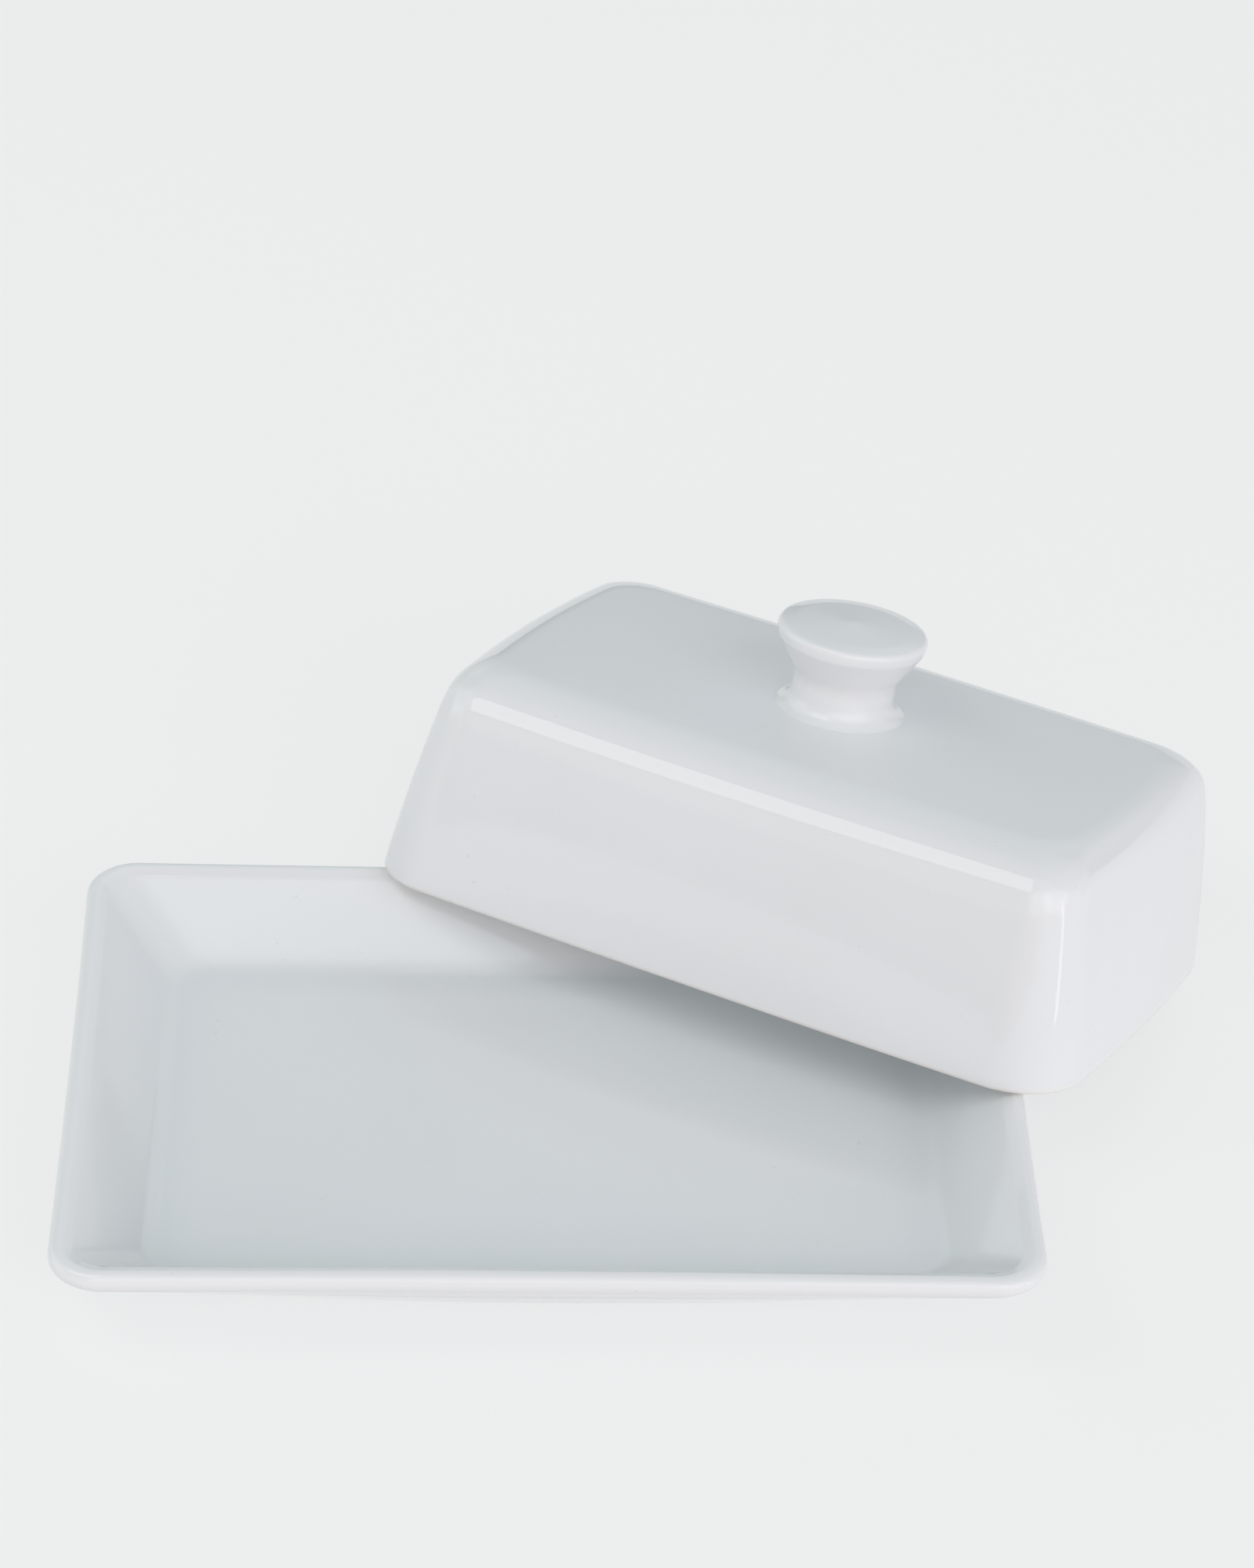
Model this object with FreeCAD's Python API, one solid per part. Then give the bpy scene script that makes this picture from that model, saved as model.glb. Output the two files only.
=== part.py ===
import FreeCAD, Part
import math
import os

# A porcelain butter dish in three pieces: a shallow flared tray, a box-shaped
# lid that is hollow underneath, and the knob luted to the lid's top.
# Millimetres, +Z up. The origin is the centre of the tray's foot ring, on the
# table, and +X runs along the tray. The lid lies askew over the tray's back
# right corner: it leans on the rim in front and stands on the table behind.

# Tray: outline, heights and wall
tray_length = 180.0
tray_width = 124.6
tray_height = 20.8
rim_corner_radius = 9.6
rim_width = 4.2
rim_band = 2.5
rim_round = 1.9
rim_under_round = 1.2
floor_top = 7.0
floor_bottom = 3.0
floor_inset = 17.2
floor_corner_radius = 6.0
floor_round = 5.0
foot_inset = 19.9
foot_corner_radius = 16.0
foot_width = 4.5

# Lid: sizes at its open mouth, and the drafts of its four walls
lid_length = 146.8
lid_width = 90.8
lid_height = 45.2
side_draft = 6.1
end_draft = 10.0
lid_wall = 4.0
mouth_corner_radius = 11.5
top_corner_radius = 10.5
top_round = 9.5
hollow_round = 5.0
mouth_round = 1.2
mouth_inner_round = 2.0

# Knob: its place on the lid, a little off the middle, then radii and heights above the lid's top
knob_place = (1.7, 0.6)
knob_height = 18.4
knob_radius = 14.9
knob_waist_radius = 9.9
knob_waist_height = 5.7
knob_base_radius = 14.0
knob_base_height = 0.6
knob_edge_height = 15.6
knob_edge_round = 1.3
knob_lower_radius = 11.1
knob_lower_height = 2.3
knob_upper_radius = 11.4
knob_upper_height = 9.9

# Where the lid lies: the middle of its mouth, then its turn, lean and roll
lid_place = (49.8, 58.7, 11.464)
lid_turn = -28.11
lid_lean = -14.11
lid_roll = 0.576

# How close to a height an edge's two ends must be for it to count as level
level_tolerance = 0.01


def rounded_rectangle(length, width, radius, height):
    """A level closed wire: a rectangle with four round corners."""
    x = length / 2.0
    y = width / 2.0
    slant = radius * (1.0 - math.sqrt(0.5))
    edges = []
    for start, corner, end in (
        ((x, y - radius), (x - slant, y - slant), (x - radius, y)),
        ((-x + radius, y), (-x + slant, y - slant), (-x, y - radius)),
        ((-x, -y + radius), (-x + slant, -y + slant), (-x + radius, -y)),
        ((x - radius, -y), (x - slant, -y + slant), (x, -y + radius)),
    ):
        points = [FreeCAD.Vector(px, py, height) for px, py in (start, corner, end)]
        if edges:
            edges.append(Part.makeLine(edges[-1].Vertexes[-1].Point, points[0]))
        edges.append(Part.Arc(*points).toShape())
    edges.append(Part.makeLine(edges[-1].Vertexes[-1].Point, edges[0].Vertexes[0].Point))
    return Part.Wire(edges)


def tapered_block(lower, upper):
    """A solid between two level rounded rectangles, with straight walls."""
    return Part.makeLoft([rounded_rectangle(*lower), rounded_rectangle(*upper)], True, True)


def upright_block(outline, top):
    """A solid that rises straight up from a level rounded rectangle."""
    face = Part.Face(rounded_rectangle(*outline))
    return face.extrude(FreeCAD.Vector(0, 0, top - outline[3]))


def level_edges(shape, height):
    """The edges of a shape that lie level at a height."""
    chosen = []
    for edge in shape.Edges:
        low = edge.BoundBox.ZMin
        high = edge.BoundBox.ZMax
        if abs(low - height) < level_tolerance and abs(high - height) < level_tolerance:
            chosen.append(edge)
    return chosen


def is_inside(edge, half_length, half_width):
    """Whether an edge lies inside a centred rectangle."""
    box = edge.BoundBox
    along = max(-box.XMin, box.XMax)
    across = max(-box.YMin, box.YMax)
    return along < half_length and across < half_width


def make_tray():
    """The tray: a flared dish on a low foot ring, with a rounded rim."""
    band_bottom = tray_height - rim_band
    rim = (tray_length, tray_width, rim_corner_radius, band_bottom)
    foot = (tray_length - 2 * foot_inset, tray_width - 2 * foot_inset, foot_corner_radius, 0.0)
    body = tapered_block(foot, rim).fuse(upright_block(rim, tray_height))
    body = body.removeSplitter()

    floor = (tray_length - 2 * floor_inset, tray_width - 2 * floor_inset, floor_corner_radius, floor_top)
    mouth_length = tray_length - 2 * rim_width
    mouth_width = tray_width - 2 * rim_width
    mouth = (mouth_length, mouth_width, rim_corner_radius - rim_width, tray_height)
    well = tapered_block(floor, mouth)
    well = well.makeFillet(floor_round, level_edges(well, floor_top))
    body = body.cut(well)

    ring = foot_inset + foot_width
    recess = (tray_length - 2 * ring, tray_width - 2 * ring, foot_corner_radius - foot_width, 0.0)
    body = body.cut(upright_block(recess, floor_bottom))

    body = body.makeFillet(rim_round, level_edges(body, tray_height))
    body = body.makeFillet(rim_under_round, level_edges(body, band_bottom))
    return body.Solids[0]


def draft_inset(draft, height):
    """How far a wall of this draft has come in at a height above the mouth."""
    return height * math.tan(math.radians(draft))


def lid_outline(height, wall, radius):
    """The lid's outline at a height above its mouth, a wall's thickness in."""
    length = lid_length - 2 * draft_inset(end_draft, height) - 2 * wall
    width = lid_width - 2 * draft_inset(side_draft, height) - 2 * wall
    return (length, width, radius, height)


def make_lid_cover():
    """The lid's box, open below, with its own Z up from the middle of its mouth."""
    shell = tapered_block(
        lid_outline(0.0, 0.0, mouth_corner_radius),
        lid_outline(lid_height, 0.0, top_corner_radius),
    )
    shell = shell.makeFillet(top_round, level_edges(shell, lid_height))
    ceiling = lid_height - lid_wall
    hollow = tapered_block(
        lid_outline(0.0, lid_wall, mouth_corner_radius - lid_wall),
        lid_outline(ceiling, lid_wall, top_corner_radius - lid_wall),
    )
    hollow = hollow.makeFillet(hollow_round, level_edges(hollow, ceiling))
    shell = shell.makeFillet(mouth_round, level_edges(shell, 0.0))
    shell = shell.cut(hollow)
    half_length = lid_length / 2.0 - lid_wall + level_tolerance
    half_width = lid_width / 2.0 - lid_wall + level_tolerance
    mouth_edges = level_edges(shell, 0.0)
    inner_edges = [edge for edge in mouth_edges if is_inside(edge, half_length, half_width)]
    return shell.makeFillet(mouth_inner_round, inner_edges).Solids[0]


def knob_point(radius, height):
    """A point of the knob's profile: a radius, and a height above the lid's top."""
    return FreeCAD.Vector(radius, 0, lid_height + height)


def make_knob():
    """The knob: a flared stem with a shallow domed disc, turned about its own upright axis."""
    edge_low = knob_edge_height - knob_edge_round
    edge_high = knob_edge_height + knob_edge_round
    edge_inner = knob_radius - knob_edge_round
    profile = [
        Part.makeLine(knob_point(0, 0), knob_point(knob_base_radius, 0)),
        Part.makeLine(knob_point(knob_base_radius, 0), knob_point(knob_base_radius, knob_base_height)),
    ]
    stem = Part.BSplineCurve()
    stem.interpolate([
        knob_point(knob_base_radius, knob_base_height),
        knob_point(knob_lower_radius, knob_lower_height),
        knob_point(knob_waist_radius, knob_waist_height),
        knob_point(knob_upper_radius, knob_upper_height),
        knob_point(edge_inner, edge_low),
    ])
    profile.append(stem.toShape())
    profile.append(Part.Arc(
        knob_point(edge_inner, edge_low),
        knob_point(knob_radius, knob_edge_height),
        knob_point(edge_inner, edge_high),
    ).toShape())
    dome_rise = knob_height - edge_high
    dome_radius = (edge_inner ** 2 + dome_rise ** 2) / (2 * dome_rise)
    half_angle = math.asin(edge_inner / dome_radius) / 2
    half_way = dome_radius * math.sin(half_angle)
    half_drop = dome_radius * (1 - math.cos(half_angle))
    profile.append(Part.Arc(
        knob_point(edge_inner, edge_high),
        knob_point(half_way, knob_height - half_drop),
        knob_point(0, knob_height),
    ).toShape())
    profile.append(Part.makeLine(knob_point(0, knob_height), knob_point(0, 0)))
    face = Part.Face(Part.Wire(profile))
    knob = face.revolve(FreeCAD.Vector(0, 0, 0), FreeCAD.Vector(0, 0, 1), 360)
    knob.translate(FreeCAD.Vector(*knob_place, 0))
    return knob


def lay_lid(shape):
    """Rolls, leans and turns a lid piece, and sets it down on rim and table."""
    origin = FreeCAD.Vector(0, 0, 0)
    laid = shape.copy()
    laid.rotate(origin, FreeCAD.Vector(0, 1, 0), lid_roll)
    laid.rotate(origin, FreeCAD.Vector(1, 0, 0), lid_lean)
    laid.rotate(origin, FreeCAD.Vector(0, 0, 1), lid_turn)
    laid.translate(FreeCAD.Vector(*lid_place))
    return laid


def main():
    os.makedirs("parts", exist_ok=True)
    pieces = {
        "tray": make_tray(),
        "lid_cover": lay_lid(make_lid_cover()),
        "lid_knob": lay_lid(make_knob()),
    }
    for name, shape in pieces.items():
        shape.exportStep("parts/" + name + ".step")
        box = shape.BoundBox
        print(name, shape.ShapeType, shape.isValid(), len(shape.Solids), round(shape.Volume, 1),
              [round(v, 2) for v in (box.XMin, box.YMin, box.ZMin, box.XMax, box.YMax, box.ZMax)])


main()
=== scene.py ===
import math

import bpy
import numpy as np
from mathutils import Matrix, Vector, noise


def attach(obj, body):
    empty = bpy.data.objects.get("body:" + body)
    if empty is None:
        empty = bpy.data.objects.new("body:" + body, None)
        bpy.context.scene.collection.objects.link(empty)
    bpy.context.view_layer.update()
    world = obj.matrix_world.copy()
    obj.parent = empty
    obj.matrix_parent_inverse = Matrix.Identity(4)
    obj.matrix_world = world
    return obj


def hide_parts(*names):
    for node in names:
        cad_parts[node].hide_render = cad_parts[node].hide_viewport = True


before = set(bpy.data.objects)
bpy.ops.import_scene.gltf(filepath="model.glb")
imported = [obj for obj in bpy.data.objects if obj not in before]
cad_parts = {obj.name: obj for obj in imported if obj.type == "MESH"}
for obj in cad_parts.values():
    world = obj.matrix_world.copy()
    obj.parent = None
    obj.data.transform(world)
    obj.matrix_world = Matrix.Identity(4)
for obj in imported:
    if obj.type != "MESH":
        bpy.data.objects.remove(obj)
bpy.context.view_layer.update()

# A white porcelain butter dish: a flared tray, and a lid with a round knob
# that lies askew over the tray's back right corner. Each piece is a dense,
# closed mesh of rings that follow its profile, with the soft corners, bowed
# walls and slight unevenness that slip-cast porcelain has.
# Profiles are in millimetres and are turned into metres when a mesh is made.

MM = 0.001

# The lid's own frame: the middle of its mouth, then its turn, lean and roll
LID_PLACE = (49.8, 58.7, 11.464)
LID_TURN = -28.11
LID_LEAN = -14.11
LID_ROLL = 0.576

# The tray's half sizes at its rim
TRAY_HALF = (90.0, 62.3)

# The lid's half sizes at its mouth, its height, and the drafts of its walls
LID_HALF = (73.4, 45.4)
LID_HEIGHT = 45.15
LID_WALL = 4.0
SIDE_DRAFT = 6.1
LEFT_DRAFT = 11.3
RIGHT_DRAFT = 8.8
SIDE_ROUND = 12.1
END_ROUND = 7.5

# The corners of the lid in plan: their radius at the mouth, how much less it is
# at the top, and the same two for the hollow
LID_CORNER = 11.5
LID_CORNER_TAPER = 4.1
HOLLOW_CORNER = 8.7
HOLLOW_CORNER_TAPER = 2.7
MOUTH_CORNER_TAPER = 0.7
HOLLOW_ROUND = 5.0

# How far the middles of the lid's walls bow out: over their height, and at the mouth
END_BOW = 4.0
END_MOUTH_BOW = 1.0
SIDE_BOW = 1.7
SIDE_MOUTH_BOW = 0.7

# The right end at its mouth: set back, swollen in its middle, with rounder corners
RIGHT_SET_BACK = 0.5
RIGHT_SWELL = 0.8
RIGHT_CORNER_EXTRA = 2.5

# Where the knob stands on the lid's top, and its height
KNOB_PLACE = (1.7, 0.6)
KNOB_HEIGHT = 18.35

# The longest step along the profiles of the tray and the knob
TRAY_STEP = 2.2
KNOB_STEP = 1.2

# Segments round each outline: half a corner, a long side and a short side
CORNER_STEPS = 9
LONG_STEPS = 54
SHORT_STEPS = 38
RING_POINTS = 2 * (LONG_STEPS + SHORT_STEPS) + 8 * CORNER_STEPS
KNOB_POINTS = 144

# Marks kept with each point, in this order: where glaze gathers thick in a hollow, which
# inside the lid is also painted shade; where it draws off an edge, which on the knob's
# stem is also painted light; where the clay has no glaze; and painted shade on the tray's
# outer wall, below its overhanging rim.
MARKS = ("pool_and_shade", "thin_and_lit", "bare", "overhang_shade")

# The glaze's base colours
CLOUD_DARK = (0.807, 0.823, 0.846)
CLOUD_LIGHT = (0.823, 0.837, 0.864)
# Thick glaze in hollows, darkened to serve also as painted shade inside the lid
POOLED_AND_SHADED = (0.66, 0.735, 0.745)
# Painted shade for the tray's outer wall below its rim
OVERHANG_SHADE = (0.62, 0.625, 0.66)
# Glaze thinned on edges, also used as painted light on the knob's stem
THINNED_AND_LIT = (0.85, 0.86, 0.88)
SPECK = (0.55, 0.53, 0.49)
BARE_CLAY = (0.80, 0.77, 0.71)
BARE_ROUGHNESS = 0.75

# How uneven each surface is: the height of its waves and their width
TRAY_WAVER = (0.09, 34.0)
LID_WAVER = (0.07, 38.0)
KNOB_WAVER = (0.05, 17.0)
WAVER_SHIFT = (3.1, 7.7, 1.3)

# The two lamps: place and target in metres, which way their height runs, their width and
# height in metres, and their power in watts. The softbox gives the band over the lid's
# front edge, and the strip gives the line down its front right corner.
SOFTBOX = ((-0.44, -0.198, 0.897), (0.05, 0.04, 0.045), (0.44, 0.84, 0.31), (0.63, 0.43), 1.66)
STRIP = ((0.219, -0.122, 0.052), (0.115, -0.015, 0.052), (0, 0, 1), (0.014, 0.1), 0.0095)

# The studio's soft light from afar, in rings of evenly spaced patches. Each ring has its
# elevation, the angle up to which a patch is full, the angle where it ends, and the colours
# of its patches, clockwise from +Y as seen from above. The colours were fitted by a separate
# least-squares program, and a few of them were then set by hand.
LIGHT_RINGS = [
    (6, 12, 30, [
        (0.14, 0.15, 0.14), (0.39, 0.42, 0.47), (0.32, 0.28, 0.26), (0.36, 0.35, 0.36),
        (0.66, 0.62, 0.62), (0.80, 0.67, 0.65), (0.34, 0.16, 0.12), (0.25, 0.16, 0.15),
        (0.12, 0.12, 0.12), (0.65, 0.65, 0.61), (0.48, 0.50, 0.48), (0.46, 0.47, 0.46),
    ]),
    (32, 10, 30, [
        (0.36, 0.43, 0.43), (0.37, 0.37, 0.33), (0.26, 0.26, 0.24), (0.12, 0.17, 0.17),
        (1.42, 1.40, 1.49), (1.01, 1.07, 1.04), (0.24, 0.25, 0.22), (0.12, 0.12, 0.12),
        (0.86, 0.93, 0.93), (0.12, 0.12, 0.12),
    ]),
    (58, 10, 30, [
        (0.12, 0.12, 0.12), (0.32, 0.37, 0.39), (0.12, 0.12, 0.12),
        (0.43, 0.53, 0.54), (0.0, 0.0, 0.0), (0.12, 0.12, 0.12),
    ]),
    (90, 10, 30, [(0.14, 0.12, 0.12)]),
]

# What shows behind the object where there is no floor
BACKDROP = (0.83, 0.85, 0.845)

# The floor, in metres: its radius, and how far it lies under the object
FLOOR_RADIUS = 6.0
FLOOR_DROP = 0.0002
FLOOR_GREY = (0.25, 0.25, 0.25)
FLOOR_GLOW = (0.985, 1.0, 1.0)
FLOOR_GLOW_STRENGTH = 0.66

# The camera: its angles in degrees, its lens and sensor in millimetres, and where the
# object's origin lies in its view, to the right, up and forward in millimetres
CAMERA_ELEVATION = 35.85
CAMERA_AZIMUTH = -2.46
CAMERA_ROLL = 2.07
CAMERA_LENS = 114.0923
CAMERA_SENSOR = 36.0
ORIGIN_IN_VIEW = (-15.70, -69.01, 946.91)


def lid_matrix():
    """From the lid's own frame to the part's frame, in metres."""
    turned = (
        Matrix.Rotation(math.radians(LID_TURN), 4, "Z")
        @ Matrix.Rotation(math.radians(LID_LEAN), 4, "X")
        @ Matrix.Rotation(math.radians(LID_ROLL), 4, "Y")
    )
    return Matrix.Translation(Vector(LID_PLACE) * MM) @ turned


def soft_path(corners, steps=7):
    """A profile through corners (x, z, round, *more), each corner rounded to its radius.

    Returns rows (x, z, *more), with more interpolated along the path."""
    rows = []
    count = len(corners)
    for i, corner in enumerate(corners):
        here = np.array(corner[:2], float)
        more = np.array(corner[3:], float)
        if i == 0 or i == count - 1 or corner[2] <= 0:
            rows.append(np.concatenate([here, more]))
            continue
        before = np.array(corners[i - 1][:2], float)
        after = np.array(corners[i + 1][:2], float)
        more_before = np.array(corners[i - 1][3:], float)
        more_after = np.array(corners[i + 1][3:], float)
        a = (before - here) / np.linalg.norm(before - here)
        b = (after - here) / np.linalg.norm(after - here)
        half = math.acos(max(-1.0, min(1.0, float(a @ b)))) / 2
        reach = corner[2] / math.tan(half)
        start = here + a * reach
        end = here + b * reach
        middle = here + (a + b) / np.linalg.norm(a + b) * corner[2] / math.sin(half)
        u = start - middle
        v = end - middle
        sweep = math.pi - 2 * half
        share_a = reach / np.linalg.norm(before - here)
        share_b = reach / np.linalg.norm(after - here)
        first = more + (more_before - more) * share_a
        last = more + (more_after - more) * share_b
        for k in range(steps + 1):
            t = k / steps
            p = middle + (u * math.sin((1 - t) * sweep) + v * math.sin(t * sweep)) / math.sin(sweep)
            q = (1 - t) ** 2 * first + 2 * t * (1 - t) * more + t * t * last
            rows.append(np.concatenate([p, q]))
    return np.array(rows)


def refine(rows, longest):
    """Splits the long steps of a profile, so that no step is longer than this."""
    out = [rows[0]]
    for a, b in zip(rows[:-1], rows[1:]):
        parts = max(1, math.ceil(np.linalg.norm(b[:2] - a[:2]) / longest))
        for k in range(1, parts + 1):
            out.append(a + (b - a) * k / parts)
    return np.array(out)


def outline(half_x, half_y, radius, bow_x, bow_y, right_extra=0.0):
    """Points round a rounded rectangle, from the middle of its corner at -X -Y.

    The bows push the middle of the sides outwards, and the corners at +X are rounder by
    right_extra. The count of points is always the same."""
    corners = [(-1, -1, 180), (1, -1, 270), (1, 1, 0), (-1, 1, 90)]
    steps = [LONG_STEPS, SHORT_STEPS, LONG_STEPS, SHORT_STEPS]
    points = []
    for side in range(4):
        sx, sy, start = corners[side]
        tx, ty, _ = corners[(side + 1) % 4]
        here = radius + (right_extra if sx > 0 else 0.0)
        there = radius + (right_extra if tx > 0 else 0.0)
        centre = (sx * (half_x - here), sy * (half_y - here))
        for k in range(CORNER_STEPS):
            angle = math.radians(start + 45 + 45 * k / CORNER_STEPS)
            points.append((centre[0] + here * math.cos(angle), centre[1] + here * math.sin(angle)))
        target = (tx * (half_x - there), ty * (half_y - there))
        angle = math.radians(start + 90)
        first = (centre[0] + here * math.cos(angle), centre[1] + here * math.sin(angle))
        last = (target[0] + there * math.cos(angle), target[1] + there * math.sin(angle))
        for k in range(steps[side]):
            t = k / steps[side]
            points.append((first[0] + (last[0] - first[0]) * t, first[1] + (last[1] - first[1]) * t))
        for k in range(CORNER_STEPS):
            angle = math.radians(start + 90 + 45 * k / CORNER_STEPS)
            points.append((target[0] + there * math.cos(angle), target[1] + there * math.sin(angle)))
    p = np.array(points)
    ux = p[:, 0] / half_x
    uy = p[:, 1] / half_y
    p[:, 0] += bow_x * ux * (1 - uy ** 2)
    p[:, 1] += bow_y * uy * (1 - ux ** 2)
    return p


class Shell:
    """A closed mesh built ring by ring, with a grid across each end."""

    def __init__(self):
        self.points = []
        self.faces = []
        self.marks = []

    def ring(self, points, marks):
        first = len(self.points)
        self.points.extend(points)
        self.marks.extend([marks] * len(points))
        return first

    def bridge(self, a, b, count):
        for i in range(count):
            j = (i + 1) % count
            self.faces.append((a + i, a + j, b + j, b + i))

    def grid(self, first, rise, flip):
        """Fills a rounded-rectangle ring with a grid, and lifts it by rise(u, v)."""
        nx = LONG_STEPS + 2 * CORNER_STEPS
        ny = SHORT_STEPS + 2 * CORNER_STEPS
        ring = [Vector(p) for p in self.points[first:first + 2 * (nx + ny)]]
        marks = self.marks[first]
        low = [first + i for i in range(nx + 1)]
        right = [first + nx + i for i in range(ny + 1)]
        high = [first + nx + ny + (nx - i) for i in range(nx + 1)]
        left = [first + 2 * nx + ny + (ny - i) for i in range(ny + 1)]
        left[0] = first
        at = {}
        for i in range(nx + 1):
            at[i, 0] = low[i]
            at[i, ny] = high[i]
        for j in range(ny + 1):
            at[0, j] = left[j]
            at[nx, j] = right[j]

        def get(i, j):
            return ring[at[i, j] - first]

        for i in range(1, nx):
            for j in range(1, ny):
                u = i / nx
                v = j / ny
                p = (
                    get(i, 0) * (1 - v) + get(i, ny) * v + get(0, j) * (1 - u) + get(nx, j) * u
                    - get(0, 0) * (1 - u) * (1 - v) - get(nx, 0) * u * (1 - v)
                    - get(0, ny) * (1 - u) * v - get(nx, ny) * u * v
                )
                p.z += rise(2 * u - 1, 2 * v - 1)
                at[i, j] = len(self.points)
                self.points.append(tuple(p))
                self.marks.append(marks)
        for i in range(nx):
            for j in range(ny):
                face = (at[i, j], at[i + 1, j], at[i + 1, j + 1], at[i, j + 1])
                self.faces.append(face[::-1] if flip else face)


def make_object(name, shell, waver, matrix=Matrix.Identity(4)):
    """A smooth, slightly uneven mesh object in metres from a shell in millimetres."""
    height, width = waver
    mesh = bpy.data.meshes.new(name)
    mesh.from_pydata([tuple(p) for p in shell.points], [], shell.faces)
    mesh.update()
    normals = [v.normal.copy() for v in mesh.vertices]
    for vertex, normal in zip(mesh.vertices, normals):
        place = vertex.co / width
        vertex.co += normal * height * noise.noise(place + Vector(WAVER_SHIFT))
    values = np.array(shell.marks, float).reshape(len(shell.points), len(MARKS))
    for i, mark in enumerate(MARKS):
        layer = mesh.attributes.new(mark, "FLOAT", "POINT")
        layer.data.foreach_set("value", values[:, i].astype(np.float32))
    mesh.transform(matrix @ Matrix.Scale(MM, 4))
    mesh.polygons.foreach_set("use_smooth", [True] * len(mesh.polygons))
    mesh.update()
    piece = bpy.data.objects.new(name, mesh)
    bpy.context.scene.collection.objects.link(piece)
    return piece


def rings_from(path, half_x, half_y, shell):
    """Adds a ring for each row (inset, z, radius, bow_x, bow_y, pool, thin, bare, under)."""
    firsts = []
    for row in path:
        inset, z, radius, bow_x, bow_y = row[:5]
        flat = outline(half_x - inset, half_y - inset, radius, bow_x, bow_y)
        firsts.append(shell.ring([(x, y, z) for x, y in flat], tuple(row[5:9])))
    return firsts


def make_tray():
    """The tray, from the middle of its floor over the rim to the underside."""
    # inset, z, rounding, corner radius, bow_x, bow_y, pool, thin, bare, under (painted shade below the rim)
    path = soft_path([
        (26.0, 7.05, 0.0, 5.0, 0.0, 0.0, 0.0, 0.0, 0.0, 0.0),
        (17.2, 7.0, 5.5, 7.0, 0.0, 0.0, 0.15, 0.0, 0.0, 0.0),
        (4.3, 19.8, 2.6, 6.5, -0.4, -0.6, 0.1, 0.4, 0.0, 0.0),
        (2.2, 20.85, 1.6, 8.2, -0.42, -0.65, 0.0, 1.0, 0.0, 0.0),
        (0.0, 20.5, 1.8, 9.6, -0.42, -0.65, 0.0, 1.0, 0.0, 0.0),
        # The last column paints shade on the outer wall, below the overhanging rim.
        (0.0, 17.6, 2.2, 9.6, -0.42, -0.65, 0.0, 0.3, 0.0, 0.5),
        (7.0, 11.45, 0.0, 11.8, 0.0, 0.77, 0.0, 0.0, 0.0, 1.0),
        (19.9, 0.0, 0.8, 16.0, 0.0, 2.2, 0.0, 0.3, 0.0, 1.0),
        (21.6, 0.0, 0.0, 15.0, 0.0, 2.2, 0.0, 0.0, 1.0, 0.0),
        (24.4, 0.0, 0.7, 11.0, 0.0, 2.1, 0.0, 0.0, 1.0, 0.0),
        (25.0, 3.0, 1.4, 9.5, 0.0, 1.8, 0.8, 0.0, 0.0, 0.0),
        (34.0, 3.05, 0.0, 6.0, 0.0, 1.0, 0.0, 0.0, 0.0, 0.0),
    ])
    path = refine(path, TRAY_STEP)
    shell = Shell()
    firsts = rings_from(path, *TRAY_HALF, shell)
    for a, b in zip(firsts[:-1], firsts[1:]):
        shell.bridge(b, a, RING_POINTS)
    shell.grid(firsts[0], lambda u, v: -0.25 * (1 - u * u) * (1 - v * v), False)
    shell.grid(firsts[-1], lambda u, v: 0.2 * (1 - u * u) * (1 - v * v), True)
    return make_object("tray_porcelain", shell, TRAY_WAVER)


def wall_inset(z, height, draft, rounding):
    """How far a drafted wall that rounds over into a flat top has come in at z."""
    slope = math.radians(draft)
    middle = height - rounding
    rise = z - middle
    if rise <= rounding * math.sin(slope):
        return z * math.tan(slope)
    inset = middle * math.tan(slope) + rounding / math.cos(slope)
    return inset - math.sqrt(max(rounding ** 2 - rise ** 2, 0.0))


def lid_ring(shell, z, wall, shape, radius, marks):
    """Adds a ring of the lid at z, a wall's thickness in from the outside.

    shape is the height of the surface and the rounding of its side and end top edges."""
    height, side_round, end_round = shape
    share = z / LID_HEIGHT
    left = wall_inset(z, height, LEFT_DRAFT, end_round) + wall
    right = wall_inset(z, height, RIGHT_DRAFT, end_round) + wall + RIGHT_SET_BACK * (1 - share)
    side = wall_inset(z, height, SIDE_DRAFT, side_round) + wall
    half_x = LID_HALF[0] - (left + right) / 2
    half_y = LID_HALF[1] - side
    bow = 2 * share * (1 - share) + 0.5 * share
    bow_x = END_BOW * bow + END_MOUTH_BOW * (1 - share)
    bow_y = SIDE_BOW * bow + SIDE_MOUTH_BOW * (1 - share)
    swell = RIGHT_SWELL * (1 - share)
    flat = outline(half_x, half_y, radius, bow_x, bow_y, RIGHT_CORNER_EXTRA * (1 - share))
    middle = (left - right) / 2
    swollen = [x + swell * max(x / half_x, 0.0) * (1 - (y / half_y) ** 2) for x, y in flat]
    return shell.ring([(x + middle, y, z) for x, (_, y) in zip(swollen, flat)], marks)


def rounded_heights(height, rounding, steps):
    """Heights that divide a rounded top edge evenly, from the top down."""
    return [height - rounding * (1 - math.cos(math.pi / 2 * k / steps)) for k in range(steps + 1)]


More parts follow.
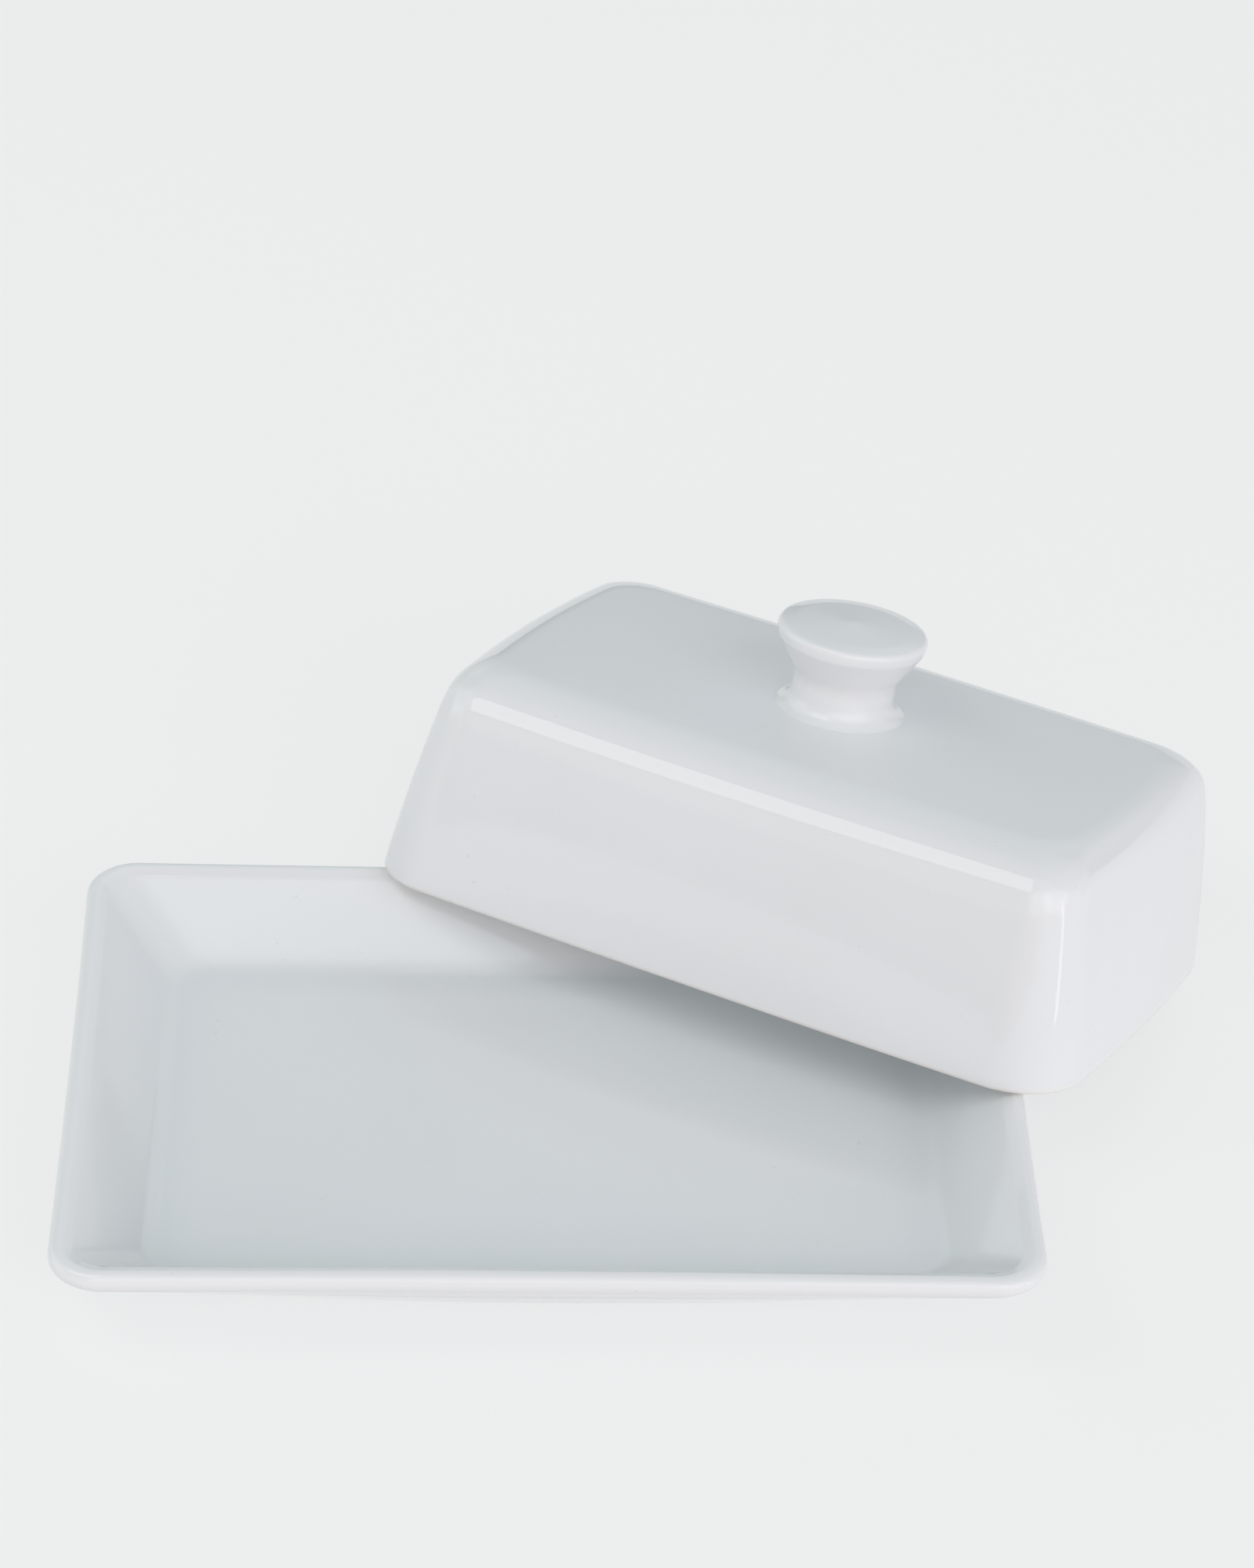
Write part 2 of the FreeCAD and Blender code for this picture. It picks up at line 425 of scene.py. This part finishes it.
def make_lid():
    """The lid, from the middle of its top down over the mouth to its ceiling."""
    ceiling = LID_HEIGHT - LID_WALL
    outer = (LID_HEIGHT, SIDE_ROUND, END_ROUND)
    inner = (ceiling, HOLLOW_ROUND, HOLLOW_ROUND)
    shell = Shell()
    firsts = []
    outside = rounded_heights(LID_HEIGHT, SIDE_ROUND, 16)
    outside += list(np.linspace(outside[-1], 2.4, 16)[1:])
    for z in outside:
        radius = LID_CORNER - LID_CORNER_TAPER * z / LID_HEIGHT
        edge = max(0.0, 1 - abs(z - (LID_HEIGHT - 3.0)) / 6.0)
        firsts.append(lid_ring(shell, z, 0.0, outer, radius, (0.0, 0.7 * edge, 0.0, 0.0)))
    # z, distance in from the outside, bare
    mouth = [
        (1.2, 0.0, 0.1), (0.72, 0.1, 0.35), (0.36, 0.35, 0.7), (0.1, 0.75, 0.9), (0.0, 1.2, 1.0),
        (0.0, 2.0, 1.0), (0.13, 2.7, 1.0), (0.5, 3.3, 0.9), (1.1, 3.75, 0.5), (2.0, 4.0, 0.1),
    ]
    for z, wall, bare in mouth:
        radius = LID_CORNER - MOUTH_CORNER_TAPER * wall
        firsts.append(lid_ring(shell, z, wall, outer, radius, (0.0, 0.3, bare, 0.0)))
    inside = rounded_heights(ceiling, HOLLOW_ROUND, 8)
    inside = list(np.linspace(4.0, inside[-1], 14)) + inside[-2::-1]
    for z in inside:
        radius = HOLLOW_CORNER - HOLLOW_CORNER_TAPER * z / ceiling
        # The hollow takes the pool colour all over, most near its ceiling: painted shade inside the lid.
        pool_and_shade = max(0.0, 1 - (ceiling - z) / 7.0)
        firsts.append(lid_ring(shell, z, LID_WALL, inner, radius, (0.3 + 0.5 * pool_and_shade, 0.0, 0.0, 0.0)))
    for a, b in zip(firsts[:-1], firsts[1:]):
        shell.bridge(b, a, RING_POINTS)
    shell.grid(firsts[0], lambda u, v: 0.25 * (1 - u * u) * (1 - v * v), False)
    shell.grid(firsts[-1], lambda u, v: 0.2 * (1 - u * u) * (1 - v * v), True)
    return make_object("lid_porcelain", shell, LID_WAVER, lid_matrix())


def make_knob():
    """The knob, turned about the lid's own Z, with a foot that runs out into the top."""
    # radius, height, rounding, pool, thin (on the foot and the waist it is painted light), bare, under
    path = soft_path([
        (14.4, -0.03, 0.0, 0.0, 0.0, 0.0, 0.0),
        # The thin marks on the foot fillet and the waist paint light onto the knob's stem.
        (10.3, 0.12, 4.0, 0.0, 0.6, 0.0, 0.0),
        (10.0, 7.2, 5.5, 0.0, 1.0, 0.0, 0.0),
        (14.5, 14.6, 1.6, 0.0, 0.2, 0.0, 0.0),
        (14.92, 17.2, 1.2, 0.0, 1.0, 0.0, 0.0),
        (11.4, 17.75, 14.0, 0.0, 0.2, 0.0, 0.0),
        (0.3, KNOB_HEIGHT, 0.0, 0.0, 0.0, 0.0, 0.0),
    ], 10)
    path = refine(path, KNOB_STEP)
    shell = Shell()
    firsts = []
    around = [2 * math.pi * k / KNOB_POINTS for k in range(KNOB_POINTS)]
    for row in path:
        ring = [
            (KNOB_PLACE[0] + row[0] * math.cos(a), KNOB_PLACE[1] + row[0] * math.sin(a), LID_HEIGHT + row[1])
            for a in around
        ]
        firsts.append(shell.ring(ring, tuple(row[2:6])))
    for a, b in zip(firsts[:-1], firsts[1:]):
        shell.bridge(a, b, KNOB_POINTS)
    for first, height, flip in ((firsts[-1], KNOB_HEIGHT, False), (firsts[0], -0.1, True)):
        middle = len(shell.points)
        shell.points.append((*KNOB_PLACE, LID_HEIGHT + height))
        shell.marks.append(shell.marks[first])
        for k in range(KNOB_POINTS):
            face = (first + k, first + (k + 1) % KNOB_POINTS, middle)
            shell.faces.append(face[::-1] if flip else face)
    return make_object("knob_porcelain", shell, KNOB_WAVER, lid_matrix())


def glaze_material():
    """White porcelain under a clear glaze that pools faintly blue-green in hollows, with
    painted shade inside the lid and below the tray's rim, and painted light on the knob's stem.
    """
    material = bpy.data.materials.new("white_glaze")
    material.use_nodes = True
    tree = material.node_tree
    nodes = tree.nodes
    links = tree.links
    shader = nodes["Principled BSDF"]
    shader.inputs["IOR"].default_value = 1.5
    shader.inputs["Coat Weight"].default_value = 0.0

    def value(name):
        node = nodes.new("ShaderNodeAttribute")
        node.attribute_name = name
        return node.outputs["Fac"]

    def noise_node(scale, detail, rough=0.5):
        node = nodes.new("ShaderNodeTexNoise")
        node.inputs["Scale"].default_value = scale
        node.inputs["Detail"].default_value = detail
        node.inputs["Roughness"].default_value = rough
        links.new(place.outputs["Object"], node.inputs["Vector"])
        return node.outputs["Fac"]

    def ramp(source, low, high, a, b):
        node = nodes.new("ShaderNodeMapRange")
        node.inputs["From Min"].default_value = low
        node.inputs["From Max"].default_value = high
        node.inputs["To Min"].default_value = a
        node.inputs["To Max"].default_value = b
        links.new(source, node.inputs["Value"])
        return node.outputs["Result"]

    def mix(factor, a, b):
        node = nodes.new("ShaderNodeMix")
        node.data_type = "RGBA"
        links.new(factor, node.inputs["Factor"])
        for socket, colour in ((node.inputs["A"], a), (node.inputs["B"], b)):
            if isinstance(colour, tuple):
                socket.default_value = (*colour, 1.0)
            else:
                links.new(colour, socket)
        return node.outputs["Result"]

    place = nodes.new("ShaderNodeTexCoord")
    cloud = ramp(noise_node(14.0, 3.0), 0.35, 0.65, 0.0, 1.0)
    colour = mix(cloud, CLOUD_DARK, CLOUD_LIGHT)
    # Pooling, which inside the lid is painted shade
    colour = mix(value("pool_and_shade"), colour, POOLED_AND_SHADED)
    # Painted shade below the tray's rim
    colour = mix(value("overhang_shade"), colour, OVERHANG_SHADE)
    # Thinned glaze, which on the knob's stem is painted light
    colour = mix(value("thin_and_lit"), colour, THINNED_AND_LIT)
    speck = ramp(noise_node(900.0, 2.0), 0.74, 0.80, 0.0, 0.35)
    colour = mix(speck, colour, SPECK)
    colour = mix(value("bare"), colour, BARE_CLAY)
    links.new(colour, shader.inputs["Base Color"])

    gloss = ramp(noise_node(60.0, 4.0), 0.3, 0.7, 0.02, 0.05)
    rough = nodes.new("ShaderNodeMix")
    rough.data_type = "FLOAT"
    links.new(value("bare"), rough.inputs["Factor"])
    links.new(gloss, rough.inputs["A"])
    rough.inputs["B"].default_value = BARE_ROUGHNESS
    links.new(rough.outputs["Result"], shader.inputs["Roughness"])

    ripple = nodes.new("ShaderNodeBump")
    ripple.inputs["Strength"].default_value = 0.025
    ripple.inputs["Distance"].default_value = 0.0004
    links.new(noise_node(220.0, 2.0), ripple.inputs["Height"])
    grit = nodes.new("ShaderNodeBump")
    grit.inputs["Distance"].default_value = 0.0002
    links.new(value("bare"), grit.inputs["Strength"])
    links.new(noise_node(2600.0, 3.0), grit.inputs["Height"])
    links.new(ripple.outputs["Normal"], grit.inputs["Normal"])
    links.new(grit.outputs["Normal"], shader.inputs["Normal"])
    return material


def add_area(name, place, target, upright, size, power):
    """A soft rectangular lamp that points at a target, its height along upright."""
    data = bpy.data.lights.new(name, "AREA")
    data.shape = "RECTANGLE"
    data.size = size[0]
    data.size_y = size[1]
    data.energy = power
    lamp = bpy.data.objects.new(name, data)
    away = (Vector(place) - Vector(target)).normalized()
    across = Vector(upright).cross(away).normalized()
    turn = Matrix((across, away.cross(across), away)).transposed().to_4x4()
    lamp.matrix_world = Matrix.Translation(Vector(place)) @ turn
    lamp.visible_camera = False
    bpy.context.scene.collection.objects.link(lamp)


def light_patches():
    """Each patch of the light rings: its direction, full angle, end angle and colour."""
    patches = []
    for elevation, full, end, colours in LIGHT_RINGS:
        height = math.sin(math.radians(elevation))
        reach = math.cos(math.radians(elevation))
        for k, colour in enumerate(colours):
            azimuth = 2 * math.pi * k / len(colours)
            axis = (reach * math.sin(azimuth), reach * math.cos(azimuth), height)
            patches.append((axis, full, end, colour))
    return patches


def make_world():
    """A studio tent: soft patches of light all round, and a plain backdrop."""
    world = bpy.data.worlds.new("studio")
    bpy.context.scene.world = world
    world.use_nodes = True
    nodes = world.node_tree.nodes
    links = world.node_tree.links
    back = nodes["Background"]
    coord = nodes.new("ShaderNodeTexCoord")
    total = None
    for axis, full, end, colour in light_patches():
        towards = nodes.new("ShaderNodeVectorMath")
        towards.operation = "DOT_PRODUCT"
        towards.inputs[1].default_value = axis
        links.new(coord.outputs["Generated"], towards.inputs[0])
        soft = nodes.new("ShaderNodeMapRange")
        soft.interpolation_type = "SMOOTHSTEP"
        soft.inputs["From Min"].default_value = math.cos(math.radians(end))
        soft.inputs["From Max"].default_value = math.cos(math.radians(full))
        links.new(towards.outputs["Value"], soft.inputs["Value"])
        add = nodes.new("ShaderNodeVectorMath")
        add.operation = "MULTIPLY_ADD"
        links.new(soft.outputs["Result"], add.inputs[0])
        add.inputs[1].default_value = colour
        add.inputs[2].default_value = (0.0, 0.0, 0.0)
        if total:
            links.new(total, add.inputs[2])
        total = add.outputs["Vector"]
    seen = nodes.new("ShaderNodeLightPath")
    blend = nodes.new("ShaderNodeMix")
    blend.data_type = "RGBA"
    links.new(seen.outputs["Is Camera Ray"], blend.inputs["Factor"])
    links.new(total, blend.inputs["A"])
    blend.inputs["B"].default_value = (*BACKDROP, 1.0)
    links.new(blend.outputs["Result"], back.inputs["Color"])


def make_floor():
    """A plain pale floor that glows a little, as a light table does."""
    bpy.ops.mesh.primitive_circle_add(
        vertices=128, radius=FLOOR_RADIUS, fill_type="NGON", location=(0, 0, -FLOOR_DROP)
    )
    floor = bpy.context.object
    floor.name = "floor"
    material = bpy.data.materials.new("pale_floor")
    material.use_nodes = True
    shader = material.node_tree.nodes["Principled BSDF"]
    shader.inputs["Base Color"].default_value = (*FLOOR_GREY, 1.0)
    shader.inputs["Roughness"].default_value = 0.9
    shader.inputs["Specular IOR Level"].default_value = 0.0
    shader.inputs["Emission Color"].default_value = (*FLOOR_GLOW, 1.0)
    shader.inputs["Emission Strength"].default_value = FLOOR_GLOW_STRENGTH
    floor.data.materials.append(material)


def make_camera():
    """The camera, whose values come from a fit of the tray's and the lid's outlines."""
    elevation = math.radians(CAMERA_ELEVATION)
    azimuth = math.radians(CAMERA_AZIMUTH)
    roll = math.radians(CAMERA_ROLL)
    forward = Vector((
        -math.sin(azimuth) * math.cos(elevation),
        math.cos(azimuth) * math.cos(elevation),
        -math.sin(elevation),
    ))
    level = Vector((math.cos(azimuth), math.sin(azimuth), 0))
    above = level.cross(forward)
    right = level * math.cos(roll) + above * math.sin(roll)
    up = above * math.cos(roll) - level * math.sin(roll)
    turn = Matrix((right, up, -forward)).transposed().to_4x4()
    origin = Vector(ORIGIN_IN_VIEW) * MM
    place = -(right * origin.x + up * origin.y + forward * origin.z)
    data = bpy.data.cameras.new("camera")
    data.sensor_width = CAMERA_SENSOR
    data.lens = CAMERA_LENS
    data.clip_start = 0.01
    camera = bpy.data.objects.new("camera", data)
    camera.matrix_world = Matrix.Translation(place) @ turn
    bpy.context.scene.collection.objects.link(camera)
    bpy.context.scene.camera = camera


glaze = glaze_material()
for piece, node, body in (
    (make_tray(), "tray", "tray_body"),
    (make_lid(), "lid_cover", "lid_body"),
    (make_knob(), "lid_knob", "lid_body"),
):
    piece.data.materials.append(glaze)
    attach(piece, body)
    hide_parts(node)

make_floor()
make_world()
make_camera()
add_area("softbox", *SOFTBOX)
add_area("strip", *STRIP)
bpy.context.scene.view_settings.view_transform = "Standard"
bpy.context.scene.view_settings.look = "None"
